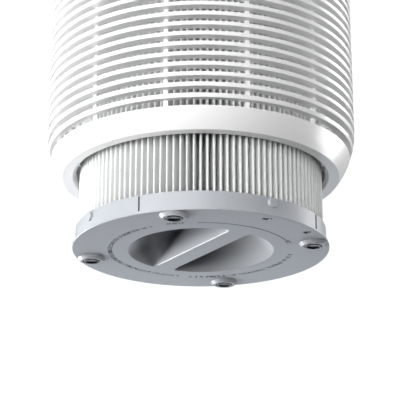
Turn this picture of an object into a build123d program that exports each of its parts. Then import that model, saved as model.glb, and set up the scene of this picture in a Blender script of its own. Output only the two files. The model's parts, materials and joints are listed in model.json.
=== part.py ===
from build123d import *
from math import asin, cos, degrees, radians, sin, sqrt
import os

# Compact cylindrical air purifier with a filter cartridge that drops out of its base.
#
# Millimetres, +Z up, origin on the axis at the bottom of the feet. The cartridge hangs partly
# drawn out of the housing, unlocked, with its tray below the opening. Front is -Y, rear is +Y.
# Heights named *_h are measured from the housing's rim, all others from the feet.

os.makedirs("parts", exist_ok=True)

# ---- driving dimensions -------------------------------------------------------------------
foot_h = 2.5            # pad bottom to the tray's underside
withdrawn = 52.2        # how far the cartridge hangs out of its seated place
rim_z = foot_h + withdrawn

housing_r = 110.0
wall = 2.6
rim_face_r = 98.2       # outer edge of the flat rim
opening_r = 90.6        # the hole that the cartridge goes through
curve_h = 34.0          # where the straight wall turns in towards the rim
bowl_top_h = 13.8
shell_bottom_h = 200.4
shell_top_h = 338.0
top_h = 353.0

fin_count = 25
fin_first_h = 18.65
fin_pitch = 7.27
fin_t = 2.95
fin_in_r = 103.0
fin_edge = 0.35         # broken edge along each fin
rib_count = 12
rib_t = 3.0
rib_in_r = 101.5
rib_out_r = 104.7       # the ribs stand back behind the fins
rib_foot_r = 102.8
rib_angle = -72.8

lug_angle = -57.8       # tray lugs, unlocked, and the grip bar
lug_r = 3.3
lug_proud = 1.8
lug_h = 9.7             # lug centre above the rim when the tray is seated
twist = 30.0            # tray turn from unlocked to locked
ring_in_r = 88.4
ring_out_r = 92.6
ring_bottom_h = 2.4
ring_top_h = 15.5
ring_ear_h = 8.6        # screw ears, on top of the bowl's bosses
ring_ear_t = 2.4
notch_half = 2.6        # half width of the four notches between the channels
notch_top_h = 8.0
rim_dot_r = 94.3        # radius at which the unlock dot sits on the rim
channel_r = 90.3
channel_gap = 0.4

tray_r = 89.8
tray_t = 1.5
collar_r = 87.8
collar_in_r = 86.2
collar_top = foot_h + 13.9
grip_r = 50.9
grip_depth = 20.0
grip_slope = 1.35       # run of the pocket's outer wall for each mm of depth
grip_wall = 1.6
grip_edge = 0.9         # rounding of the pockets' mouths
corner_fillet = 2.5
floor_fillet = 2.4
bar_half = 7.6
index_angle = -27.4
index_half = 0.6        # half width of the index grooves in the collar
index_deep = 0.9
index_low = 5.2
index_high = 15.6
foot_angle = -102.7
foot_circle_r = 79.5
boss_low = 0.3          # underside of the boss round each pad
boss_low_r = 8.0
boss_top_r = 9.9
pad_r = 6.3
pad_lip_r = 5.8
pad_lip_z = 1.2

pleat_r = 85.9
pleat_in_r = 63.2
sleeve_in_r = 58.2
core_r = 58.0
core_in_r = 56.0
cap_r = 85.6
lower_cap_z = 6.0
cap_t = 4.0
upper_cap_z = 196.3
cap_in_r = 54.5
core_rows = 6
core_slots = 6          # slots cut right across the core in each row
core_slot_w = 11.0
core_web = 7.0
seal_in_r = 66.0
seal_out_r = 80.0
gasket_t = 5.0

deck_h = 203.0
deck_t = 3.0
inlet_r = 60.0
throat_r = 46.0
duct_r = 94.5
duct_in_r = 92.0
duct_top_h = 334.0
duct_foot_t = 2.5
hub_r = 48.0
hub_wall = 2.0
motor_plate_h = 274.0
motor_plate_t = 3.0
motor_boss_r = 8.0
grille_h = 341.5
grille_t = 5.0

impeller_r = 72.0
impeller_h = 218.0
blade_h = 28.0
blade_count = 11
blade_t = 1.7
back_plate_t = 2.0
hub_top = 4.5           # top of the wheel's hub, above its blades
hub_drop = 6.0          # underside of the wheel's hub, below the blades' top
shaft_r = 3.0
bearing_r = 6.5
bearing_t = 5.0
bearing_boss_h = 20.0   # drop of the lower bearing's boss below the motor plate
rotor_r = 23.6
rotor_in_r = 21.0
pole_count = 12
vane_count = 9

ring_screw_r = 96.0
duct_screw_r = 98.0
duct_screw_turn = 15.0
top_screw_r = 99.5
top_screw_turn = 30.0
screw_count = 6         # screws in the duct's foot, and in the grille
screw_r = 1.25
screw_head_r = 2.7
screw_head_t = 1.8
clear_hole_r = 1.7

panel_h = 343.1         # undersides of the panel and its light ring
indicator_r = 31.0
indicator_hole_r = 1.25
indicator_angles = [-120, -100, -80, -60]
panel_board_h = 337.4
board_t = 1.6
button_r = 14.0
button_low_h = 342.8
plunger_r = 1.8
plunger_low_h = 341.2
plunger_top_h = 344.2
main_board_h = 296.0
board_post_r = 38.0

fit_gap = 0.2           # slack round anything dropped into a cut-out
sensor_half_w = 14.0
sensor_low_h = 252.0
sensor_high_h = 276.0
socket_half_w = 12.0
socket_low_h = 214.0
socket_high_h = 232.0

Z0 = (Align.CENTER, Align.CENTER, Align.MIN)


# ---- helpers ------------------------------------------------------------------------------
def at_h(height):
    """A height above the housing's rim, as a height above the feet."""
    return rim_z + height


def disc(radius, z0, z1):
    return Pos(0, 0, z0) * Cylinder(radius, z1 - z0, align=Z0)


def tube(r_in, r_out, z0, z1):
    return disc(r_out, z0, z1) - disc(r_in, z0, z1)


def spun(*lines):
    """A solid of revolution about Z from lines drawn in radius and height."""
    return revolve(Plane.XZ * make_face(Curve() + list(lines)), Axis.Z)


def spun_corners(*corners):
    return spun(Polyline(*corners, close=True))


def around(shape, count, first=0.0):
    return [Rot(0, 0, first + 360 / count * i) * shape for i in range(count)]


def block(x0, x1, y0, y1, z0, z1):
    size = (x1 - x0, y1 - y0, z1 - z0)
    return Pos(x0, y0, z0) * Box(*size, align=(Align.MIN, Align.MIN, Align.MIN))


def polar_point(radius, angle):
    return (radius * cos(radians(angle)), radius * sin(radians(angle)))


def curved_bar(stations, thickness, z0, z1):
    """An upright bar along an arc through three (radius, angle) stations."""
    sides = []
    for side in (1, -1):
        sides.append([
            polar_point(r, a + side * degrees(thickness / 2 / r)) for r, a in stations
        ])
    outline = (
        ThreePointArc(*sides[0])
        + Line(sides[0][2], sides[1][2])
        + ThreePointArc(*sides[1])
        + Line(sides[1][0], sides[0][0])
    )
    return Pos(0, 0, z0) * extrude(make_face(outline), z1 - z0)


def screw(length):
    """A pan-head screw with its head's underside at z 0 and its shank below."""
    body = disc(screw_r, -length, 0) + disc(screw_head_r, 0, screw_head_t)
    slot_long = screw_head_r * 1.1
    slot_w = 0.8
    slot_deep = 1.4
    cross = Box(slot_long, slot_w, slot_deep) + Box(slot_w, slot_long, slot_deep)
    return body - Pos(0, 0, screw_head_t) * cross


def save(name, shape):
    """Write one sub-component, with every solid of it at the top level."""
    shapes = shape if isinstance(shape, list) else [shape]
    solids = [solid for item in shapes for solid in item.solids()]
    export_step(Compound(children=solids), f"parts/{name}.step")


# ---- housing outline ----------------------------------------------------------------------
curve_rise = housing_r - rim_face_r
curve_r = (curve_rise ** 2 + curve_h ** 2) / (2 * curve_rise)


def outline_r(height):
    """The housing's outer radius at a height above the rim."""
    if height >= curve_h:
        return housing_r
    drop = curve_h - height
    return housing_r - curve_r + sqrt(curve_r ** 2 - drop ** 2)


def wall_curve(h0, h1):
    mid = (h0 + h1) / 2
    return ThreePointArc(*[(outline_r(h), at_h(h)) for h in (h0, mid, h1)])


# ---- housing ------------------------------------------------------------------------------
def lower_bowl():
    """The curved ring under the louvres, with a flat rim around the cartridge's opening."""
    top_r = outline_r(bowl_top_h)
    ledge_r = rib_in_r - 0.5
    edge = 0.4
    inside = [
        (top_r, at_h(bowl_top_h)),
        (ledge_r, at_h(bowl_top_h)),
        (ledge_r, at_h(11)),
        (ledge_r - 0.8, at_h(8)),
        (ledge_r - 4.0, at_h(ring_bottom_h)),
        (opening_r, at_h(ring_bottom_h)),
        (opening_r, at_h(edge)),
        (opening_r + edge, at_h(0)),
        (rim_face_r, at_h(0)),
    ]
    bowl = spun(wall_curve(0, bowl_top_h), Polyline(*inside))
    boss = disc(3.4, at_h(ring_bottom_h), at_h(ring_ear_h))
    hole = disc(screw_r, at_h(ring_bottom_h), at_h(ring_ear_h))
    place = Pos(ring_screw_r, 0, 0)
    bowl += around(place * boss, 4, lug_angle + 45)
    bowl -= around(place * hole, 4, lug_angle + 45)
    dot = Pos(*polar_point(rim_dot_r, lug_angle)) * disc(1.2, at_h(-0.5), at_h(0.6))
    return bowl - dot


def louvre_cage():
    """Horizontal fins on upright ribs, the air intake all round the cartridge."""
    fins = []
    for i in range(fin_count):
        h0 = fin_first_h + fin_pitch * i
        h1 = h0 + fin_t
        low = outline_r(h0)
        high = outline_r(h1)
        fins.append(spun_corners(
            (fin_in_r, at_h(h0 + 0.3)),
            (low - fin_edge, at_h(h0)),
            (low, at_h(h0 + fin_edge)),
            (high, at_h(h1 - fin_edge)),
            (high - fin_edge, at_h(h1)),
            (fin_in_r, at_h(h1 - 0.3)),
        ))
    foot = (rib_foot_r, at_h(bowl_top_h))
    bend = (rib_out_r - 0.5, at_h(22))
    knee = (rib_out_r, at_h(curve_h))
    core = spun(
        ThreePointArc(foot, bend, knee),
        Polyline(
            knee,
            (rib_out_r, at_h(deck_h)),
            (rib_in_r, at_h(deck_h)),
            (rib_in_r, at_h(bowl_top_h)),
            foot,
        ),
    )
    plate = block(rib_in_r - 1, housing_r, -rib_t / 2, rib_t / 2, at_h(bowl_top_h), at_h(deck_h))
    ribs = around(core & plate, rib_count, rib_angle)
    top_ring = tube(rib_in_r, housing_r - wall - fit_gap, at_h(deck_h - 3.4), at_h(deck_h))
    return top_ring.fuse(*fins, *ribs)


def sector(r_in, r_out, a0, a1, z0, z1):
    """A slice of a tube between two angles."""
    mid = (a0 + a1) / 2
    edge = (
        ThreePointArc(*[polar_point(r_out, a) for a in (a0, mid, a1)])
        + Line(polar_point(r_out, a1), polar_point(r_in, a1))
        + ThreePointArc(*[polar_point(r_in, a) for a in (a1, mid, a0)])
        + Line(polar_point(r_in, a0), polar_point(r_out, a0))
    )
    return Pos(0, 0, z0) * extrude(make_face(edge), z1 - z0)


def bayonet_ring():
    """Inner ring whose four L-shaped channels take the tray's lugs."""
    ring = tube(ring_in_r, ring_out_r, at_h(ring_bottom_h), at_h(ring_top_h))
    ear_low = at_h(ring_ear_h)
    ear_high = ear_low + ring_ear_t
    ear_r = 3.2
    place = Pos(ring_screw_r, 0, 0)
    ear = block(ring_out_r - 1, ring_screw_r, -ear_r, ear_r, ear_low, ear_high)
    ear += place * disc(ear_r, ear_low, ear_high)
    ear -= place * disc(clear_hole_r, ear_low - 1, ear_high + 1)
    ring += around(ear, 4, lug_angle + 45)
    half = degrees(asin((lug_r + channel_gap) / ring_in_r))
    low = at_h(lug_h - lug_r - channel_gap)
    high = at_h(lug_h + lug_r + channel_gap)
    entry = sector(ring_in_r - 1, channel_r, -half, half, at_h(0), high)
    lane = sector(ring_in_r - 1, channel_r, -twist - half, half, low, high)
    notch = block(
        ring_in_r - 1, channel_r, -notch_half, notch_half, at_h(0), at_h(notch_top_h),
    )
    ring -= around(entry + lane, 4, lug_angle)
    return ring - around(notch, 4, lug_angle + 45)


def upper_shell():
    """The plain cylinder above the louvres, open behind for the sensor and the power inlet."""
    shell = tube(housing_r - wall, housing_r, at_h(shell_bottom_h), at_h(shell_top_h))
    for half, low, high in (
        (sensor_half_w, sensor_low_h, sensor_high_h),
        (socket_half_w, socket_low_h, socket_high_h),
    ):
        shell -= block(-half, half, housing_r - 20, housing_r + 10, at_h(low), at_h(high))
    return shell


def top_bezel():
    """The rounded top edge, with an inner lip that holds the outlet grille."""
    corner = 7.0
    mid = corner * (1 - cos(radians(45)))
    outer = ThreePointArc(
        (housing_r, at_h(top_h - corner)),
        (housing_r - mid, at_h(top_h - mid)),
        (housing_r - corner, at_h(top_h)),
    )
    rest = Polyline(
        (housing_r - corner, at_h(top_h)),
        (97.0, at_h(top_h)),
        (95.5, at_h(top_h - 1.5)),
        (95.5, at_h(grille_h + grille_t)),
        (103.0, at_h(grille_h + grille_t)),
        (housing_r - wall, at_h(shell_top_h + 4)),
        (housing_r - wall, at_h(shell_top_h)),
        (housing_r, at_h(shell_top_h)),
        (housing_r, at_h(top_h - corner)),
    )
    pilot = Pos(top_screw_r, 0, 0) * disc(screw_r, at_h(grille_h), at_h(grille_h + grille_t + 4))
    return spun(outer, rest) - around(pilot, screw_count, top_screw_turn)


def outlet_grille():
    """Sweeping bars between an inner and an outer ring, over the blower's outlet."""
    z0 = at_h(grille_h)
    z1 = at_h(grille_h + grille_t)
    outer = tube(92.5, 102.5, z0, z1)
    inner = tube(hub_r - hub_wall, hub_r + 1, z0, z1)
    inner += tube(hub_r - hub_wall - 3, hub_r - hub_wall, z0, z0 + 1.6)
    bars = around(curved_bar([(48, 0), (70, 9), (93, 24)], 1.7, z0 + 0.6, z1), 60)
    rings = [tube(r - 0.8, r + 0.8, z0, z1 - 1) for r in (60, 71, 82)]
    hole = Pos(top_screw_r, 0, 0) * disc(clear_hole_r, z0, z1)
    return outer.fuse(inner, *rings, *bars) - around(hole, screw_count, top_screw_turn)


def control_panel():
    """The glossy disc in the middle of the top, shallowly dished towards the button."""
    z0 = at_h(panel_h)
    in_r = 17.7
    out_r = hub_r - hub_wall - fit_gap
    panel = spun_corners(
        (in_r, z0), (out_r, z0), (out_r, z0 + 4.0), (out_r - 0.8, z0 + 4.6), (in_r, z0 + 3.6),
    )
    light = Pos(indicator_r, 0, 0) * disc(indicator_hole_r, z0, z0 + 6)
    for angle in indicator_angles:
        panel -= Rot(0, 0, angle) * light
    post = Pos(36, 0, 0) * disc(2.6, at_h(panel_board_h + board_t), z0)
    return panel + around(post, 4, 45)


def control_board():
    """The round board under the panel, with its chips on the underside."""
    z0 = at_h(panel_board_h)
    board = tube(1.6, 40.5, z0, z0 + board_t)
    chips = []
    for x, y, long, wide, tall in ((20, 12, 9, 9, 1.4), (-22, -8, 6, 10, 1.4), (4, 26, 14, 6, 2.0)):
        chips.append(Pos(x, y, z0 - tall) * Box(long, wide, tall, align=Z0))
    return board.fuse(*chips)


def tact_switch():
    """The switch under the button: a square body with a blind bore for its plunger."""
    z0 = at_h(panel_board_h + board_t)
    tall = 3.6
    body = Pos(0, 0, z0) * Box(7.2, 7.2, tall, align=Z0)
    return body - disc(plunger_r + 0.1, z0 + 0.6, z0 + tall)


def indicator_lights():
    """Small light guides in the panel, in front of the button."""
    z0 = at_h(panel_h)
    spot = Pos(indicator_r, 0, 0) * disc(indicator_hole_r, z0, z0 + 4.1)
    return [Rot(0, 0, angle) * spot for angle in indicator_angles]


def light_ring():
    """Clear ring round the button."""
    return tube(button_r + 0.4, 17.5, at_h(panel_h), at_h(panel_h + 3.5))


def power_button():
    """The push button: a dished cap with a short skirt."""
    low = at_h(button_low_h)
    top = low + 4.6
    under = low + 1.4
    edge = 0.6
    return spun_corners(
        (0, under), (button_r - 1, under), (button_r - 1, low), (button_r, low),
        (button_r, top - edge), (button_r - edge, top), (0, top - 0.9),
    )


def switch_plunger():
    """The pin that the button presses into the switch."""
    return disc(plunger_r, at_h(plunger_low_h), at_h(plunger_top_h))


def button_spring():
    """Coil spring round the switch that lifts the button."""
    wire_r = 0.4
    turns = 4
    low = at_h(339.6)
    high = at_h(343.7)
    path = Pos(0, 0, low) * Helix(pitch=(high - low) / turns, height=high - low, radius=7.0)
    start = Plane(origin=path @ 0, z_dir=path % 0)
    return sweep(start * Circle(wire_r), path=path)


def fan_deck():
    """The bulkhead between the filter chamber and the blower."""
    z0 = at_h(deck_h)
    deck = tube(inlet_r, housing_r - wall - fit_gap, z0, z0 + deck_t)
    pilot = Pos(duct_screw_r, 0, 0) * disc(screw_r, z0, z0 + deck_t)
    deck -= around(pilot, screw_count, duct_screw_turn)
    stiffener = tube(inlet_r + 24, inlet_r + 26, z0 + deck_t, z0 + deck_t + 3)
    return deck + stiffener


def inlet_guard():
    """Finger guard across the blower's inlet."""
    z0 = at_h(deck_h)
    bar_t = 2.0
    rings = [tube(r - 0.9, r + 0.9, z0, z0 + bar_t) for r in (12, 24, 36, 48)]
    spokes = around(block(0, inlet_r - 2, -bar_t / 2, bar_t / 2, z0, z0 + bar_t), 6)
    return tube(inlet_r - 2.5, inlet_r, z0, z0 + deck_t).fuse(*rings, *spokes)


def inlet_bellmouth():
    """The flared inlet that leads the air into the impeller's eye."""
    z0 = at_h(deck_h + deck_t)
    foot = z0 + 2.0
    lip = z0 + 12.0
    in_r = 58.0
    out_r = 68.0
    sheet_t = 1.6
    mouth = ThreePointArc((in_r, z0), (51.5, z0 + 3.5), (throat_r, lip))
    back = ThreePointArc((throat_r + sheet_t, lip), (52.6, z0 + 5.0), (in_r + 1.5, foot))
    return spun(
        mouth,
        Line((throat_r, lip), (throat_r + sheet_t, lip)),
        back,
        Polyline((in_r + 1.5, foot), (out_r, foot), (out_r, z0), (in_r, z0)),
    )


def fan_duct():
    """The upright duct wall around the blower, on a foot flange."""
    z0 = at_h(deck_h + deck_t)
    wall_tube = tube(duct_in_r, duct_r, z0, at_h(duct_top_h))
    foot = tube(duct_r - 0.5, duct_screw_r + 3.5, z0, z0 + duct_foot_t)
    hole = Pos(duct_screw_r, 0, 0) * disc(clear_hole_r, z0, z0 + duct_foot_t)
    return wall_tube + foot - around(hole, screw_count, duct_screw_turn)


def motor_hub():
    """The drum in the middle of the duct: motor plate, bearing boss and guide vanes."""
    plate_z = at_h(motor_plate_h)
    plate_top = plate_z + motor_plate_t
    boss_z = plate_z - bearing_boss_h
    drum = tube(hub_r - hub_wall, hub_r, plate_z, at_h(grille_h))
    plate = disc(hub_r - 0.5, plate_z, plate_top)
    boss = disc(motor_boss_r, boss_z, plate_z)
    bore = disc(bearing_r, boss_z, boss_z + bearing_t)
    bore += disc(bearing_r, plate_top - bearing_t, plate_top)
    bore += disc(shaft_r + 1.2, boss_z, plate_top)
    vane = Pos(70, 0, plate_z + 20) * Rot(32, 0, 0) * Box(48, 2.0, 34)
    room = tube(hub_r - 0.6, duct_in_r, plate_z + 2, plate_z + 38)
    vanes = around(vane & room, vane_count)
    return (drum.fuse(plate, boss) - bore).fuse(*vanes)


def stator():
    """Laminated core with its wound poles."""
    z0 = at_h(motor_plate_h - 17)
    z1 = z0 + 12
    core_out_r = 12.0
    shoe_r = 18.4
    pole_r = rotor_in_r - 0.6
    bulge = 1.2
    core = tube(motor_boss_r, core_out_r, z0, z1)
    pole = block(core_out_r - 0.5, pole_r - 0.4, -1.6, 1.6, z0, z1)
    shoe = sector(shoe_r, pole_r, -11, 11, z0, z1)
    coil = block(core_out_r + 0.5, shoe_r, -2.6, 2.6, z0 - bulge, z1 + bulge)
    return core.fuse(*around(pole + shoe, pole_count), *around(coil, pole_count))


def bearings():
    """Two ball bearings for the rotor's shaft."""
    low = at_h(motor_plate_h - bearing_boss_h)
    high = at_h(motor_plate_h + motor_plate_t - bearing_t)
    return [tube(shaft_r + 0.03, bearing_r, z, z + bearing_t) for z in (low, high)]


def rotor():
    """Magnet cup and shaft that carry the impeller."""
    floor = at_h(impeller_h + blade_h + hub_top)
    cup = disc(rotor_r, floor, floor + 2)
    wall_ring = tube(rotor_in_r, rotor_r, floor, floor + 19)
    shaft = disc(shaft_r, floor - 14, at_h(motor_plate_h + 7))
    return cup.fuse(wall_ring, shaft)


def impeller():
    """Backward-curved blower wheel: shroud, blades, back plate and hub."""
    z0 = at_h(impeller_h)
    z1 = z0 + blade_h
    stations = [(49.5, 0), (60, -14), (impeller_r - 0.5, -36)]
    blades = around(curved_bar(stations, blade_t, z0 + 0.5, z1 + 1), blade_count)
    shroud = spun_corners(
        (49.0, z0 - 1.5), (50.6, z0 - 1.5), (52.5, z0), (impeller_r, z0 + 3),
        (impeller_r, z0 + 4.6), (51.5, z0 + 1.6), (49.0, z0 + 1.0),
    )
    plate_top = z1 + hub_top - back_plate_t
    plate = disc(impeller_r, plate_top - back_plate_t, plate_top)
    hub = disc(9, z1 - hub_drop, z1 + hub_top) + disc(rotor_r, plate_top, z1 + hub_top)
    return shroud.fuse(plate, hub, *blades) - disc(shaft_r, z1 - 20, z1 + 10)


def impeller_nut():
    """Hexagon nut that clamps the wheel's hub on the shaft."""
    z1 = at_h(impeller_h + blade_h - hub_drop)
    tall = 4.0
    nut = Pos(0, 0, z1 - tall) * extrude(RegularPolygon(5.2, 6), tall)
    return nut - disc(shaft_r, z1 - tall, z1)


def main_board():
    """Power and motor electronics on a round board inside the hub."""
    z0 = at_h(main_board_h)
    top = z0 + board_t
    blocks = (
        (-18, 8, 20, 17, 15), (16, -12, 14, 9, 9), (20, 14, 10, 10, 2), (-12, -20, 12, 6, 8),
    )
    parts = []
    for x, y, long, wide, tall in blocks:
        parts.append(Pos(x, y, top) * Box(long, wide, tall, align=Z0))
    return disc(44.5, z0, top).fuse(*parts)


def capacitors():
    """Upright capacitors on the main board, as x, y, radius and height."""
    spots = [(4, 24, 5.0, 18), (-2, -4, 4.0, 13), (26, 0, 4.0, 13)]
    z0 = at_h(main_board_h + board_t)
    return [Pos(x, y, 0) * disc(r, z0, z0 + tall) for x, y, r, tall in spots]


def board_posts():
    """Posts that carry the main board above the motor plate."""
    low = at_h(motor_plate_h + motor_plate_t)
    post = Pos(board_post_r, 0, 0) * disc(3, low, at_h(main_board_h))
    return around(post, 4, 20)


def particle_sensor():
    """Dust sensor behind its grille, between the duct and the shell."""
    body = block(-12, 12, 95.2, 104.5, at_h(246), at_h(280))
    return body - block(-6, 6, 103.0, 105, at_h(256), at_h(272))


def sensor_grille():
    """Slotted cover set into the rear of the shell."""
    half = sensor_half_w - fit_gap
    z0 = at_h(sensor_low_h + fit_gap)
    z1 = at_h(sensor_high_h - fit_gap)
    slot_half = 11.0
    slot_w = 2.0
    slot_pitch = 3.8
    cover = block(-half, half, housing_r - 5.2, housing_r + 5, z0, z1)
    cover = cover & tube(housing_r - 3.8, housing_r - 0.3, z0 - 1, z1 + 1)
    for i in range(5):
        z = z0 + 3.2 + slot_pitch * i
        cover -= block(-slot_half, slot_half, housing_r - 6, housing_r + 6, z, z + slot_w)
    return cover


def power_inlet():
    """Two-pin mains inlet, a rounded socket open to the rear."""
    z0 = at_h(socket_low_h + fit_gap)
    z1 = at_h(socket_high_h - fit_gap)
    half = socket_half_w - fit_gap
    back_y = 95.4
    body = block(-half, half, back_y, housing_r + 5, z0, z1)
    body = body & disc(housing_r - 0.4, z0 - 1, z1 + 1)
    mouth = extrude(RectangleRounded(16.6, 8.2, 4.0), 15)
    place = Pos(0, back_y + 2, (z0 + z1) / 2) * Rot(-90, 0, 0)
    pin = Cylinder(1.15, 9.5, align=Z0)
    pins = [place * Pos(x, 0, -0.5) * pin for x in (-4.3, 4.3)]
    return (body - place * mouth).fuse(*pins)


# ---- cartridge ----------------------------------------------------------------------------
def pleat_pack():
    """The pleated medium, as the closed tube that its folds fill."""
    return tube(pleat_in_r, pleat_r, lower_cap_z + cap_t, upper_cap_z)


def carbon_sleeve():
    return tube(sleeve_in_r, pleat_in_r - 0.2, lower_cap_z + cap_t, upper_cap_z)


def inner_core():
    """Slotted tube that holds the medium open."""
    z0 = lower_cap_z + cap_t
    core = tube(core_in_r, core_r, z0, upper_cap_z)
    step = (upper_cap_z - z0) / core_rows
    cut = Box(2 * core_r + 5, core_slot_w, step - core_web)
    cuts = []
    for row in range(core_rows):
        middle = Pos(0, 0, z0 + step * (row + 0.5))
        for turn in range(core_slots):
            cuts.append(middle * Rot(0, 0, 180 / core_slots * turn) * cut)
    return core - cuts


def end_cap(z0):
    """A flat ring that the medium is potted into."""
    return tube(cap_in_r, cap_r, z0, z0 + cap_t)


def top_gasket():
    """Foam ring that seals against the deck when the cartridge is seated."""
    z0 = upper_cap_z + cap_t
    return tube(seal_in_r, seal_out_r, z0, z0 + gasket_t)


# ---- tray ---------------------------------------------------------------------------------
def grip_pocket():
    """One half-moon finger pocket, with soft corners and a sloping outer wall."""
    drop = grip_depth
    floor_r = grip_r - grip_slope * drop
    cone = spun_corners((0, foot_h), (grip_r, foot_h), (floor_r, foot_h + drop), (0, foot_h + drop))
    side = block(bar_half, grip_r + 5, -60, 60, foot_h - 1, foot_h + drop + 1)
    pocket = cone & side
    corners = [e for e in pocket.edges() if abs(e.bounding_box().size.Z - drop) < 0.3]
    pocket = fillet(corners, corner_fillet)
    floor = pocket.faces().sort_by(Axis.Z)[-1]
    return fillet(floor.edges(), floor_fillet)


def grip_tub():
    """The tray's thicker middle, which closes the pockets from above, hollow in the bar."""
    top = foot_h + tray_t
    reach = foot_h + grip_depth + grip_wall
    outer_r = grip_r + grip_wall
    floor_r = outer_r - grip_slope * grip_depth + 1
    tub = spun_corners(
        (0, foot_h + 0.5), (outer_r, foot_h + 0.5), (outer_r, top), (floor_r, reach), (0, reach),
    )
    hollow = bar_half - grip_wall
    return tub - block(-hollow, hollow, -60, 60, top, reach + 1)


def collar_lug():
    """A round stud on the collar that runs in the bayonet ring's channel."""
    root_r = collar_in_r + 0.4
    stud = Cylinder(lug_r, collar_r + lug_proud - root_r, align=Z0)
    stud = chamfer(stud.edges().sort_by(Axis.Z)[-1], 0.4)
    return Pos(root_r, 0, foot_h + lug_h) * Rot(0, 90, 0) * stud


def base_tray():
    """Turning base: flange, collar with four lugs, finger grip and foot bosses."""
    top = foot_h + tray_t
    edge = 0.3
    flange = spun_corners(
        (0, foot_h), (tray_r - edge, foot_h), (tray_r, foot_h + edge), (tray_r, top - edge),
        (tray_r - edge, top), (0, top),
    )
    collar = spun_corners(
        (collar_in_r, top - 0.5), (collar_r, top - 0.5), (collar_r, collar_top - 0.5),
        (collar_r - 0.5, collar_top), (collar_in_r, collar_top),
    )
    into = foot_h + 0.2
    boss = spun_corners(
        (0, boss_low), (boss_low_r, boss_low), (boss_top_r, foot_h), (boss_top_r, into), (0, into),
    )
    pad_hole = disc(pad_r, 0, foot_h - 0.2)
    spot = Pos(foot_circle_r, 0, 0)
    groove = block(
        collar_r - index_deep, collar_r + 1, -index_half, index_half, index_low, index_high,
    )
    tray = flange.fuse(collar, Rot(0, 0, lug_angle - 90) * grip_tub())
    tray = tray.fuse(*around(collar_lug(), 4, lug_angle), *around(spot * boss, 4, foot_angle))
    tray -= around(spot * pad_hole, 4, foot_angle)
    tray -= around(groove, 4, index_angle)
    tray -= around(grip_pocket(), 2, lug_angle + 90)
    return fillet(pocket_mouths(tray), grip_edge)


def pocket_mouths(tray):
    """The edges of the two pockets in the tray's underside."""
    found = []
    for edge in tray.edges():
        box = edge.bounding_box()
        start = edge @ 0
        flat = abs(box.max.Z - foot_h) < 0.01 and abs(box.min.Z - foot_h) < 0.01
        if flat and start.X ** 2 + start.Y ** 2 < (grip_r + 1) ** 2:
            found.append(edge)
    return found


def foot_pads():
    """Rubber pads set in the foot bosses."""
    roof = foot_h - 0.2
    pad = spun_corners(
        (0, 0), (pad_lip_r - 0.5, 0), (pad_lip_r, 0.3), (pad_lip_r, pad_lip_z),
        (pad_r, pad_lip_z), (pad_r, roof), (0, roof),
    )
    return around(Pos(foot_circle_r, 0, 0) * pad, 4, foot_angle)


# ---- seals --------------------------------------------------------------------------------
def tray_seal():
    """Felt ring between the tray and the cartridge's lower cap."""
    return tube(seal_in_r, seal_out_r, foot_h + tray_t, lower_cap_z - 0.2)


# ---- fasteners ----------------------------------------------------------------------------
def ring_screws():
    """Screws that hold the bayonet ring on the bowl's bosses."""
    one = Pos(ring_screw_r, 0, at_h(ring_ear_h + ring_ear_t)) * screw(7.5)
    return around(one, 4, lug_angle + 45)


def duct_screws():
    """Screws that hold the duct's foot on the deck."""
    one = Pos(duct_screw_r, 0, at_h(deck_h + deck_t + duct_foot_t)) * screw(5.3)
    return around(one, screw_count, duct_screw_turn)


def top_screws():
    """Screws that hold the grille up against the bezel, heads downwards."""
    one = Pos(top_screw_r, 0, at_h(grille_h)) * Rot(180, 0, 0) * screw(8.8)
    return around(one, screw_count, top_screw_turn)


save("lower_bowl", lower_bowl())
save("louvre_cage", louvre_cage())
save("bayonet_ring", bayonet_ring())
save("upper_shell", upper_shell())
save("top_bezel", top_bezel())
save("outlet_grille", outlet_grille())
save("control_panel", control_panel())
save("control_board", control_board())
save("tact_switch", tact_switch())
save("light_ring", light_ring())
save("indicator_lights", indicator_lights())
save("power_button", power_button())
save("switch_plunger", switch_plunger())
save("button_spring", button_spring())
save("fan_deck", fan_deck())
save("inlet_guard", inlet_guard())
save("inlet_bellmouth", inlet_bellmouth())
save("fan_duct", fan_duct())
save("motor_hub", motor_hub())
save("stator", stator())
save("bearings", bearings())
save("rotor", rotor())
save("impeller", impeller())
save("impeller_nut", impeller_nut())
save("main_board", main_board())
save("capacitors", capacitors())
save("board_posts", board_posts())
save("particle_sensor", particle_sensor())
save("sensor_grille", sensor_grille())
save("power_inlet", power_inlet())
save("pleat_pack", pleat_pack())
save("carbon_sleeve", carbon_sleeve())
save("inner_core", inner_core())
save("lower_end_cap", end_cap(lower_cap_z))
save("upper_end_cap", end_cap(upper_cap_z))
save("top_gasket", top_gasket())
save("base_tray", base_tray())
save("foot_pads", foot_pads())
save("tray_seal", tray_seal())
save("ring_screws", ring_screws())
save("duct_screws", duct_screws())
save("top_screws", top_screws())
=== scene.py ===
import json
from math import cos, degrees, pi, radians, sin
import random

import bmesh
import bpy
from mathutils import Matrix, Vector


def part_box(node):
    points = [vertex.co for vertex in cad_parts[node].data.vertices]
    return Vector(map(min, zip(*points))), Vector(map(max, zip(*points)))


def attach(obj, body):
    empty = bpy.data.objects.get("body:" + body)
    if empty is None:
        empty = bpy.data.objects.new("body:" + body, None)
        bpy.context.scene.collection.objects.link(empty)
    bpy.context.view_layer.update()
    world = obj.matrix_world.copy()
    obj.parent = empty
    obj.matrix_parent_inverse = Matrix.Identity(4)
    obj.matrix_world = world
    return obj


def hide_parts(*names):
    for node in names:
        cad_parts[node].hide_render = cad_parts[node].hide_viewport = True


# Looks of a cylindrical air purifier whose filter cartridge is drawn out at the bottom.
# Lengths are in metres. MM turns a length written in millimetres into metres.
# Turns are in degrees round the object's axis, from its near side (-Y) towards +X.

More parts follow.
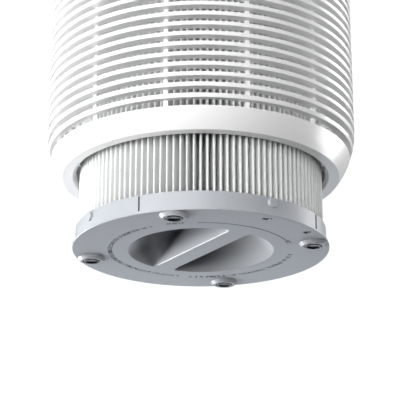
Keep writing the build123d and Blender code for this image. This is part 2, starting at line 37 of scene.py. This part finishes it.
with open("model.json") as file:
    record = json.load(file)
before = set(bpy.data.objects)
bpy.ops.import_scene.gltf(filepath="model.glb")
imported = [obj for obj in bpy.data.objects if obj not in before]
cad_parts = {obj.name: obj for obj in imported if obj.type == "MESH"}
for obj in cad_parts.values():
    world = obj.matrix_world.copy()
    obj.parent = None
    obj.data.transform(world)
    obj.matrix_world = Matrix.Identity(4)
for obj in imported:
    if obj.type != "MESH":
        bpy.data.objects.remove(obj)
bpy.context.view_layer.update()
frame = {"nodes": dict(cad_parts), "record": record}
record = frame["record"]
nodes = frame["nodes"]

MM = 0.001

# ---- places taken from the frame ----------------------------------------------------------
tray_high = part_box("base_tray")[1]
pack_low, pack_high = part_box("pleat_pack")
pads_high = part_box("foot_pads")[1]

FACE_ABOVE_PADS = 0.2 * MM
tray_face = pads_high.z + FACE_ABOVE_PADS       # the tray's flat underside
pack_r = pack_high.x

# ---- pleated medium -----------------------------------------------------------------------
PLEATS = 120
PLEAT_IN_R = 63.2 * MM      # the folded pack's inner radius
TIP_R = 0.60 * MM           # bend at a pleat's outer tip
ROOT_R = 0.50 * MM          # bend at its inner turn
SHEET_T = 0.45 * MM
BEND_STEPS = 6              # straight pieces in each half-round bend
PLEAT_LEVELS = 14           # rings of points from the lower end to the upper one
TIP_JITTER = 0.018          # how far a tip strays, as a share of the pitch
TIP_SWAY = 0.012            # how much further it strays half-way up
PLEAT_SEED = 7

# ---- print on the tray --------------------------------------------------------------------
MARK_R = 63.5 * MM          # middle of the rows of signs
ARC_R = 63.0 * MM
ARC_W = 0.65 * MM
ARC_TURNS = (-2, 66)
ARC_STEPS = 40
MARK_PROUD = 0.05 * MM      # half the thickness of a mark, which is half sunk in the face

# Strokes of the made-up signs, as (across, up) from and to, in a cell one unit wide and high.
SIGNS = (
    ((0.15, 0, 0.15, 1), (0.15, 1, 0.8, 1)),
    ((0.5, 0, 0.5, 1),),
    ((0.15, 0, 0.15, 1), (0.8, 0, 0.8, 1)),
    ((0.15, 0, 0.15, 1), (0.15, 0.5, 0.8, 0.5), (0.8, 0, 0.8, 0.5)),
    ((0.1, 0.1, 0.9, 0.1), (0.1, 0.9, 0.9, 0.9)),
    ((0.15, 0, 0.8, 0), (0.15, 0, 0.15, 1)),
)
SIGN_W = 1.6 * MM
SIGN_H = 2.6 * MM
SIGN_LINE = 0.5 * MM
BOLD_H = 2.9 * MM
BOLD_LINE = 0.8 * MM
NEXT_SIGN = 1.35            # from one sign to the next, in sign widths
NEXT_WORD = 2.5             # the same where a gap is left
SIGN_SHARE = 0.85           # share of the signs with no gap after them
SIGN_ROWS = ((-165, -29), (97, 160.5), (-21, -8), (68, 75))     # turns of each row's ends
BOLD_ROW = (164, 188.6)
SIGN_SEED = 11

# Padlock signs. Sizes are in millimetres, across and up from the sign's own middle.
ICON_R = 83.0 * MM
LOCK_BODY = ((-2.1, -2.3), (2.1, -2.3), (2.1, 0.5), (-2.1, 0.5))
SHACKLE_FOOT = 0.6
SHACKLE_OUT = (1.75, 2.3)   # half width and height of the shackle's outer edge
SHACKLE_IN = (1.05, 1.6)
SHACKLE_STEPS = 10
PADLOCKS = ((31.0, 2.2), (59.5, 0.0))   # turn, and how far the shackle is moved aside

# Dark strips that fill the index grooves in the tray's collar: painted shade in the grooves.
INDEX_TURN = 62.6
INDEX_HALF = (1.15 * MM, 0.56 * MM, 0.56 * MM, 0.56 * MM)   # the first is the bold start mark
INDEX_INSET = 1.95 * MM     # from the tray's rim to the filling's face
INDEX_DEPTH = 0.8 * MM
INDEX_LOW = 2.75 * MM       # ends of the filling, above the tray's underside
INDEX_HIGH = 13.0 * MM

# ---- rubber feet --------------------------------------------------------------------------
FOOT_TURN = -12.7           # the first foot
FOOT_CIRCLE_R = 79.5 * MM
FOOT_COUNT = 4
FOOT_STEPS = 48
FOOT_PROFILE = (            # (radius, height) in millimetres: dished middle, rounded lip, top
    (0, 0.85), (2.0, 0.82), (3.2, 0.70), (3.9, 0.45), (4.3, 0.16), (4.65, 0.03), (5.0, 0.0),
    (5.35, 0.05), (5.65, 0.22), (5.8, 0.5), (5.8, 2.0), (0, 2.0),
)

# ---- camera and light ---------------------------------------------------------------------
CAMERA_TILT = 19.37         # looking up, in degrees
CAMERA_DISTANCE = 1.0555
CAMERA_SIDE = -0.52 * MM
AIM_ABOVE_TRAY = 37.9 * MM
LENS = 134.1                # lens and sensor in millimetres
SENSOR = 36.0
CLIP_END = 20.0

# Softboxes round the object: name, turn, rise in degrees, distance, side, watts and, where it
# isn't white, tint.
LIGHTS = (
    ("low_left", -122, -16.5, 1.4, 0.65, 26.5),
    ("side_left", -88, -12, 1.4, 0.6, 6.5),
    ("sheen", 180, -11, 1.4, 0.8, 2.8, (0.88, 0.96, 1.06)),
    ("key", -46, -2, 1.5, 0.8, 17.5),
    ("front", -12, -2, 1.5, 0.8, 14.5),
    ("edge_right", 112, -4, 1.5, 0.8, 19.0),
    ("back_right", 121, 32, 1.6, 0.8, 14.0),
    ("top", 20, 75, 1.8, 1.0, 9.0),
)
LIT_POINT = Vector((0, 0, 0.1))
WORLD_STRENGTH = 0.02

ROOM_FLOOR = -2.6
ROOM_ROOF = 6.0
ROOM_R = 6.0
ROOM_SIDES = 24
PAPER_TONE = 0.62
PAPER_BEHIND = 1.05         # tone of the wall behind the object
PAPER_FADE = (2.5, 5.2)     # where the wall turns from the one tone to the other, along +Y


def add_camera():
    """A long lens below the object, looking up at the tray."""
    data = bpy.data.cameras.new("camera")
    data.lens = LENS
    data.sensor_width = SENSOR
    data.clip_end = CLIP_END
    camera = bpy.data.objects.new("camera", data)
    bpy.context.scene.collection.objects.link(camera)
    tilt = radians(CAMERA_TILT)
    aim = Vector((CAMERA_SIDE, 0, tray_face + AIM_ABOVE_TRAY))
    camera.location = aim - CAMERA_DISTANCE * Vector((0, cos(tilt), sin(tilt)))
    camera.rotation_euler = (pi / 2 + tilt, 0, 0)
    bpy.context.scene.camera = camera


def add_area_light(name, turn, rise, away, side, power, tint=(1, 1, 1)):
    """A square softbox that faces LIT_POINT and isn't seen itself."""
    data = bpy.data.lights.new(name, "AREA")
    data.size = side
    data.energy = power
    data.color = tint
    light = bpy.data.objects.new(name, data)
    light.visible_camera = False
    bpy.context.scene.collection.objects.link(light)
    turn, rise = radians(turn), radians(rise)
    out = Vector((sin(turn) * cos(rise), -cos(turn) * cos(rise), sin(rise)))
    light.location = LIT_POINT + away * out
    light.rotation_euler = (-out).to_track_quat("-Z", "Y").to_euler()


def add_world():
    """A faint, even light from all sides."""
    world = bpy.data.worlds.new("studio")
    world.use_nodes = True
    shade = world.node_tree.nodes["Background"]
    shade.inputs["Color"].default_value = (1.0, 1.0, 1.0, 1.0)
    shade.inputs["Strength"].default_value = WORLD_STRENGTH
    bpy.context.scene.world = world


def add_studio():
    """A plain room that shows behind the object, but neither lights it nor mirrors in it."""
    ring = []
    for i in range(ROOM_SIDES):
        a = 2 * pi * i / ROOM_SIDES
        ring.append((ROOM_R * cos(a), ROOM_R * sin(a)))
    low = [(x, y, ROOM_FLOOR) for x, y in ring]
    high = [(x, y, ROOM_ROOF) for x, y in ring]
    floor = bpy.data.meshes.new("floor")
    floor.from_pydata(low, [], [tuple(range(ROOM_SIDES))])
    walls = bpy.data.meshes.new("walls")
    faces = []
    for i in range(ROOM_SIDES):
        j = (i + 1) % ROOM_SIDES
        faces.append((i, j, ROOM_SIDES + j, ROOM_SIDES + i))
    faces.append(tuple(range(ROOM_SIDES, 2 * ROOM_SIDES)))
    walls.from_pydata(low + high, [], faces)
    floor.materials.append(studio_paper("floor_paper", PAPER_TONE, PAPER_TONE))
    walls.materials.append(studio_paper("wall_paper", PAPER_TONE, PAPER_BEHIND))
    for mesh in (floor, walls):
        room = bpy.data.objects.new(mesh.name, mesh)
        bpy.context.scene.collection.objects.link(room)
        room.visible_diffuse = False
        room.visible_glossy = False
        room.visible_shadow = False
    for light in LIGHTS:
        add_area_light(*light)


# ---- material helpers ---------------------------------------------------------------------
class Shader:
    """A principled material with its node tree at hand."""

    def __init__(self, name):
        self.material = bpy.data.materials.new(name)
        self.material.use_nodes = True
        self.tree = self.material.node_tree
        self.main = self.tree.nodes["Principled BSDF"]

    def node(self, kind, **values):
        made = self.tree.nodes.new(kind)
        for key, value in values.items():
            if key in made.inputs:
                made.inputs[key].default_value = value
            else:
                setattr(made, key, value)
        return made

    def placed(self, kind, **values):
        """A node that works on the object's own coordinates."""
        made = self.node(kind, **values)
        place = self.node("ShaderNodeTexCoord")
        self.link(place.outputs["Object"], made.inputs["Vector"])
        return made

    def link(self, start, end):
        self.tree.links.new(start, end)

    def set(self, **values):
        for key, value in values.items():
            self.main.inputs[key.replace("_", " ")].default_value = value

    def noise(self, scale, detail=3.0, roughness=0.55):
        values = dict(Scale=scale, Detail=detail, Roughness=roughness)
        return self.placed("ShaderNodeTexNoise", **values).outputs["Fac"]

    def ramp(self, source, first, second, start, stop):
        made = self.node("ShaderNodeValToRGB")
        made.color_ramp.elements[0].position = start
        made.color_ramp.elements[1].position = stop
        made.color_ramp.elements[0].color = (*first, 1)
        made.color_ramp.elements[1].color = (*second, 1)
        self.link(source, made.inputs["Fac"])
        return made.outputs["Color"]

    def colour(self, source, first, second, start=0.35, stop=0.65):
        """Base colour from first to second as source goes from start to stop."""
        ramp = self.ramp(source, first, second, start, stop)
        self.link(ramp, self.main.inputs["Base Color"])

    def gloss(self, source, low, high):
        """Roughness from low to high as source goes from 0 to 1."""
        made = self.node("ShaderNodeMapRange")
        made.inputs["To Min"].default_value = low
        made.inputs["To Max"].default_value = high
        self.link(source, made.inputs["Value"])
        self.link(made.outputs["Result"], self.main.inputs["Roughness"])

    def bump(self, source, strength, distance=0.1 * MM):
        made = self.node("ShaderNodeBump", Strength=strength, Distance=distance)
        self.link(source, made.inputs["Height"])
        self.link(made.outputs["Normal"], self.main.inputs["Normal"])


def scaled(tone, share):
    return tuple(c * share for c in tone)


def moulded(name, tone, roughness=0.35, depth=0.02, vary=0.02, specular=0.5, coat=0.0):
    """Injection-moulded plastic: slight tone drift, fine spark-eroded grain, uneven gloss."""
    s = Shader(name)
    s.colour(s.noise(9.0), scaled(tone, 1 - vary), tone)
    s.gloss(s.noise(60.0), roughness - 0.04, roughness + 0.05)
    s.bump(s.noise(2600.0, detail=2.0), depth)
    s.set(Specular_IOR_Level=specular, Coat_Weight=coat, Coat_Roughness=0.12)
    return s.material


def studio_paper(name, tone, behind):
    """Evenly lit paper with a faint tooth, in another tone behind the object."""
    s = Shader(name)
    parts = s.placed("ShaderNodeSeparateXYZ")
    fade = s.node("ShaderNodeMapRange")
    fade.inputs["From Min"].default_value = PAPER_FADE[0]
    fade.inputs["From Max"].default_value = PAPER_FADE[1]
    s.link(parts.outputs["Y"], fade.inputs["Value"])
    tones = s.ramp(fade.outputs["Result"], (tone,) * 3, (behind,) * 3, 0.0, 1.0)
    s.link(tones, s.main.inputs["Emission Color"])
    s.bump(s.noise(40.0), 0.02, 1.0 * MM)
    s.set(Base_Color=(0, 0, 0, 1), Emission_Strength=1.0, Specular_IOR_Level=0.0)
    return s.material


def satin_silver():
    """Silver-grey satin paint with fine flakes."""
    s = Shader("satin_silver")
    flakes = s.placed("ShaderNodeTexVoronoi", Scale=3800.0)
    s.colour(flakes.outputs["Distance"], (0.46, 0.48, 0.51), (0.40, 0.42, 0.45), 0.1, 0.8)
    s.gloss(s.noise(70.0), 0.30, 0.36)
    s.bump(s.noise(3000.0, detail=2.0), 0.03)
    s.set(Metallic=0.0, Specular_IOR_Level=0.5)
    return s.material


def filter_cloth():
    """Embossed non-woven medium: fibres and fine cross lines."""
    s = Shader("filter_cloth")
    fibres = s.noise(500.0, detail=6.0, roughness=0.7)
    s.colour(fibres, (0.66, 0.67, 0.67), (0.76, 0.765, 0.76), 0.3, 0.7)
    lines = s.placed("ShaderNodeTexWave", Scale=105.0, Distortion=0.4, bands_direction="Z")
    lines.inputs["Detail Scale"].default_value = 3.0
    both = s.node("ShaderNodeMath", operation="ADD")
    s.link(lines.outputs["Fac"], both.inputs[0])
    s.link(s.noise(1800.0, detail=4.0, roughness=0.7), both.inputs[1])
    s.bump(both.outputs["Value"], 0.14, 0.12 * MM)
    s.set(Roughness=0.9, Sheen_Weight=0.15, Specular_IOR_Level=0.2)
    return s.material


def rubber():
    """Black rubber, smooth enough to catch a highlight."""
    tone = (0.010, 0.011, 0.012)
    s = Shader("pad_rubber")
    s.colour(s.noise(300.0), tone, scaled(tone, 1.6))
    s.gloss(s.noise(150.0), 0.16, 0.34)
    s.bump(s.noise(1500.0), 0.12)
    return s.material


def foam(name, tone):
    """Open-celled or felted material."""
    s = Shader(name)
    cells = s.placed("ShaderNodeTexVoronoi", Scale=900.0).outputs["Distance"]
    s.colour(cells, scaled(tone, 0.6), tone, 0.0, 0.5)
    s.bump(cells, 0.5, 0.3 * MM)
    s.set(Roughness=0.95, Specular_IOR_Level=0.2)
    return s.material


def metal(name, tone, roughness=0.3):
    """Plain metal with uneven gloss."""
    s = Shader(name)
    s.colour(s.noise(400.0), scaled(tone, 0.85), tone)
    s.gloss(s.noise(900.0), roughness - 0.08, roughness + 0.12)
    s.bump(s.noise(2500.0), 0.05)
    s.set(Metallic=1.0)
    return s.material


def copper_windings():
    """Lacquered copper wire, wound turn on turn."""
    s = Shader("copper_windings")
    wave = s.placed("ShaderNodeTexWave", Scale=600.0, Distortion=0.6, bands_direction="Z")
    s.colour(wave.outputs["Fac"], (0.30, 0.12, 0.05), (0.62, 0.30, 0.14), 0.1, 0.9)
    s.bump(wave.outputs["Fac"], 0.6, 0.2 * MM)
    s.set(Metallic=0.8, Roughness=0.35)
    return s.material


def circuit_board():
    """Green board with tracks that show through its lacquer."""
    s = Shader("circuit_board")
    tracks = s.placed("ShaderNodeTexVoronoi", Scale=320.0, feature="DISTANCE_TO_EDGE")
    s.colour(tracks.outputs["Distance"], (0.05, 0.24, 0.12), (0.02, 0.12, 0.06), 0.03, 0.12)
    s.bump(tracks.outputs["Distance"], 0.3)
    s.set(Roughness=0.35)
    return s.material


def light_guide():
    """Milky clear plastic."""
    s = Shader("light_guide")
    s.colour(s.noise(700.0), (0.80, 0.88, 0.92), (0.92, 0.96, 0.98))
    s.bump(s.noise(1800.0), 0.1)
    s.set(Roughness=0.45, Transmission_Weight=0.35, IOR=1.49)
    return s.material


# Dark ink: real print for the tray's marks, and painted shade in the index grooves.
def print_and_groove_shade():
    return moulded("print_and_groove_shade", (0.055, 0.06, 0.07), 0.6, vary=0.2, specular=0.15)


# Plastics that differ in tone, roughness and what else moulded() takes.
PLASTICS = {
    "white_shell": dict(tone=(0.90, 0.90, 0.90), roughness=0.30, coat=0.15),
    "grille_white": dict(tone=(0.88, 0.88, 0.88), roughness=0.42),
    "inner_white": dict(tone=(0.70, 0.71, 0.71), roughness=0.5),
    "filter_plastic": dict(tone=(0.78, 0.79, 0.80), roughness=0.5),
    "panel_gloss": dict(tone=(0.84, 0.84, 0.85), roughness=0.14, depth=0.005, coat=0.5),
    "button_cap": dict(tone=(0.76, 0.76, 0.78), roughness=0.22, depth=0.01, coat=0.3),
    "switch_parts": dict(tone=(0.05, 0.05, 0.05), roughness=0.5),
    "wheel_plastic": dict(tone=(0.10, 0.105, 0.11), roughness=0.45, vary=0.15),
    "capacitor_sleeve": dict(tone=(0.06, 0.07, 0.10), roughness=0.3, vary=0.2),
    "sensor_black": dict(tone=(0.05, 0.05, 0.055), roughness=0.45, vary=0.15),
}
FOAMS = {
    "seal_felt": (0.20, 0.20, 0.21),
    "gasket_foam": (0.09, 0.09, 0.10),
    "carbon": (0.05, 0.05, 0.055),
}
METALS = {
    "spring_steel": dict(tone=(0.60, 0.60, 0.62)),
    "screw_steel": dict(tone=(0.52, 0.52, 0.54), roughness=0.35),
    "rotor_steel": dict(tone=(0.18, 0.18, 0.19), roughness=0.4),
}
OTHERS = {
    "silver_tray": satin_silver,
    "pad_rubber": rubber,
    "filter_medium": filter_cloth,
    "light_guide": light_guide,
    "stator_core": copper_windings,
    "board_green": circuit_board,
}


def finish(slot):
    """The material of one of the record's material slots."""
    if slot in PLASTICS:
        return moulded(slot, **PLASTICS[slot])
    if slot in FOAMS:
        return foam(slot, FOAMS[slot])
    if slot in METALS:
        return metal(slot, **METALS[slot])
    return OTHERS[slot]()


def paint_cad_nodes():
    """Give each CAD node its slot's material, and return the materials by slot."""
    made = {}
    for part in record["subparts"]:
        name = part["material_slot"]
        if name not in made:
            made[name] = finish(name)
        mesh = nodes[part["node"]].data
        mesh.materials.clear()
        mesh.materials.append(made[name])
    return made


# ---- shape helpers ------------------------------------------------------------------------
def new_piece(name, mesh, body, material):
    """An object round a mesh, with its body and material."""
    piece = bpy.data.objects.new(name, mesh)
    bpy.context.scene.collection.objects.link(piece)
    mesh.materials.clear()
    mesh.materials.append(material)
    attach(piece, body)
    return piece


def apply_modifiers(piece):
    """Turn what the modifiers make into the piece's own mesh."""
    shaped = piece.evaluated_get(bpy.context.evaluated_depsgraph_get())
    mesh = bpy.data.meshes.new_from_object(shaped)
    piece.modifiers.clear()
    piece.data = mesh


def prisms(name, outlines, z0, z1):
    """Thin closed prisms over flat outlines, each a ring of (x, y) points."""
    mesh = bpy.data.meshes.new(name)
    bm = bmesh.new()
    for outline in outlines:
        face = bm.faces.new([bm.verts.new((x, y, z0)) for x, y in outline])
        made = bmesh.ops.extrude_face_region(bm, geom=[face])
        moved = [v for v in made["geom"] if isinstance(v, bmesh.types.BMVert)]
        bmesh.ops.translate(bm, verts=moved, vec=(0, 0, z1 - z0))
    bmesh.ops.recalc_face_normals(bm, faces=bm.faces)
    bm.to_mesh(mesh)
    bm.free()
    return mesh


def lathe(name, profile, centres, steps):
    """Closed turned solids with one (radius, height) profile, at several centres."""
    mesh = bpy.data.meshes.new(name)
    verts, faces = [], []
    for cx, cy in centres:
        rings = []
        for radius, z in profile:
            if radius == 0:
                rings.append([len(verts)] * steps)
                verts.append((cx, cy, z))
                continue
            rings.append(list(range(len(verts), len(verts) + steps)))
            for i in range(steps):
                a = 2 * pi * i / steps
                verts.append((cx + radius * cos(a), cy + radius * sin(a), z))
        for lower, upper in zip(rings, rings[1:]):
            for i in range(steps):
                k = (i + 1) % steps
                ring = [lower[i], lower[k], upper[k], upper[i]]
                faces.append(tuple(dict.fromkeys(ring)))
    mesh.from_pydata(verts, [], faces)
    mesh.shade_smooth()
    return mesh


def polar(radius, turn):
    """An (x, y) point at a turn."""
    a = radians(turn - 90)
    return (radius * cos(a), radius * sin(a))


def points(*corners):
    """Vectors as plain (x, y) tuples."""
    return [tuple(p) for p in corners]


# ---- pieces -------------------------------------------------------------------------------
def pleat_line(jitter):
    """The folded sheet's centreline, once round, as (x, y) points."""
    line = []
    step = 2 * pi / PLEATS
    tip_at = pack_r - SHEET_T / 2 - TIP_R
    root_at = PLEAT_IN_R + SHEET_T / 2 + ROOT_R
    for k in range(PLEATS):
        bends = ((jitter[k], tip_at, TIP_R, 1), (0.5, root_at, ROOT_R, -1))
        for share, centre_r, bend_r, way in bends:
            angle = (k + share) * step
            centre = Vector((cos(angle), sin(angle))) * centre_r
            out = Vector((cos(angle), sin(angle))) * way
            side = Vector((-sin(angle), cos(angle)))
            for i in range(BEND_STEPS + 1):
                turn = radians(180 * i / BEND_STEPS - 90)
                line.append(centre + bend_r * (out * cos(turn) + side * sin(turn)))
    return line


def pleated_medium(material):
    """The filter's folded sheet, as one closed ring of pleats that stray a little."""
    rng = random.Random(PLEAT_SEED)
    jitter = [rng.uniform(-TIP_JITTER, TIP_JITTER) for _ in range(PLEATS)]
    drift = [rng.uniform(-TIP_SWAY, TIP_SWAY) for _ in range(PLEATS)]
    verts, faces = [], []
    low, high = pack_low.z, pack_high.z
    for level in range(PLEAT_LEVELS):
        t = level / (PLEAT_LEVELS - 1)
        sway = sin(pi * t)
        line = pleat_line([j + d * sway for j, d in zip(jitter, drift)])
        z = low + (high - low) * t
        verts += [(p.x, p.y, z) for p in line]
    count = len(line)
    for level in range(PLEAT_LEVELS - 1):
        a = level * count
        for i in range(count):
            j = (i + 1) % count
            faces.append((a + i, a + j, a + count + j, a + count + i))
    mesh = bpy.data.meshes.new("pleated_medium")
    mesh.from_pydata(verts, [], faces)
    mesh.shade_smooth()
    piece = new_piece("pleated_medium", mesh, "cartridge", material)
    thick = piece.modifiers.new("thickness", "SOLIDIFY")
    thick.thickness = SHEET_T
    thick.offset = 0
    apply_modifiers(piece)
    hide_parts("pleat_pack")


def arc_strip(radius, width, start, stop):
    """Outline of a strip that runs along an arc."""
    turn = [start + (stop - start) * i / ARC_STEPS for i in range(ARC_STEPS + 1)]
    outer = [polar(radius + width / 2, a) for a in turn]
    inner = [polar(radius - width / 2, a) for a in reversed(turn)]
    return outer + inner


def stroke(turn, up, wide, stop_turn, stop_up):
    """Outline of a thin bar between two points, each a turn and a height off MARK_R."""
    a = Vector(polar(MARK_R + up, turn))
    b = Vector(polar(MARK_R + stop_up, stop_turn))
    along = (b - a).normalized()
    side = Vector((-along.y, along.x)) * wide / 2
    cap = along * wide / 2
    return points(a - cap + side, a - cap - side, b + cap - side, b + cap + side)


def sign_row(rng, start, stop, tall=SIGN_H, wide=SIGN_LINE):
    """Made-up signs that stand for small print, along an arc round the grip."""
    outlines = []
    cell = degrees(SIGN_W / MARK_R)
    at = start
    while at + cell < stop:
        for x0, y0, x1, y1 in rng.choice(SIGNS):
            low, high = (y0 - 0.5) * tall, (y1 - 0.5) * tall
            outlines.append(stroke(at + x0 * cell, low, wide, at + x1 * cell, high))
        at += cell * (NEXT_SIGN if rng.random() < SIGN_SHARE else NEXT_WORD)
    return outlines


def padlock(turn, shift):
    """A small padlock sign; shift moves its shackle aside for the open one."""
    def at(u, v):
        return polar(ICON_R + v * MM, turn + degrees(u * MM / ICON_R))

    def half_round(half, tall, angles):
        return [at(shift + half * cos(a), SHACKLE_FOOT + tall * sin(a)) for a in angles]

    angles = [radians(180 * i / SHACKLE_STEPS) for i in range(SHACKLE_STEPS + 1)]
    shackle = half_round(*SHACKLE_OUT, angles) + half_round(*SHACKLE_IN, reversed(angles))
    return [[at(u, v) for u, v in LOCK_BODY], shackle]


def tray_marks(material):
    """Print on the tray's underside: an arc, rows of signs and two padlocks."""
    rng = random.Random(SIGN_SEED)
    outlines = [arc_strip(ARC_R, ARC_W, *ARC_TURNS)]
    for start, stop in SIGN_ROWS:
        outlines += sign_row(rng, start, stop)
    outlines += sign_row(rng, *BOLD_ROW, tall=BOLD_H, wide=BOLD_LINE)
    for turn, shift in PADLOCKS:
        outlines += padlock(turn, shift)
    mesh = prisms("tray_marks", outlines, tray_face - MARK_PROUD, tray_face + MARK_PROUD)
    new_piece("tray_marks", mesh, "tray", material)


def index_groove_shade(material):
    """Dark strips that fill the four index grooves in the tray's collar: painted shade in the
    grooves.
    """
    outlines = []
    out_r = tray_high.x - INDEX_INSET
    for i, half in enumerate(INDEX_HALF):
        out = Vector(polar(1, INDEX_TURN + 90 * i))
        side = Vector((-out.y, out.x)) * half
        low, high = out * (out_r - INDEX_DEPTH), out * out_r
        outlines.append(points(low - side, high - side, high + side, low + side))
    mesh = prisms("index_groove_shade", outlines, tray_face + INDEX_LOW, tray_face + INDEX_HIGH)
    new_piece("index_groove_shade", mesh, "tray", material)


def foot_inserts(material):
    """Rubber feet with a rounded lip and a dished middle, one in each boss."""
    profile = [(r * MM, z * MM) for r, z in FOOT_PROFILE]
    turns = [FOOT_TURN + 360 / FOOT_COUNT * i for i in range(FOOT_COUNT)]
    centres = [polar(FOOT_CIRCLE_R, turn) for turn in turns]
    mesh = lathe("foot_inserts", profile, centres, FOOT_STEPS)
    piece = new_piece("foot_inserts", mesh, "tray", material)
    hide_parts("foot_pads")


# ---- build --------------------------------------------------------------------------------
bpy.context.scene.view_settings.view_transform = "Standard"
add_camera()
add_world()
add_studio()
finishes = paint_cad_nodes()
pleated_medium(finishes["filter_medium"])
marks_and_groove_shade = print_and_groove_shade()
tray_marks(marks_and_groove_shade)
# The index strips are painted groove shade, in the same dark material as the print.
index_groove_shade(marks_and_groove_shade)
foot_inserts(finishes["pad_rubber"])
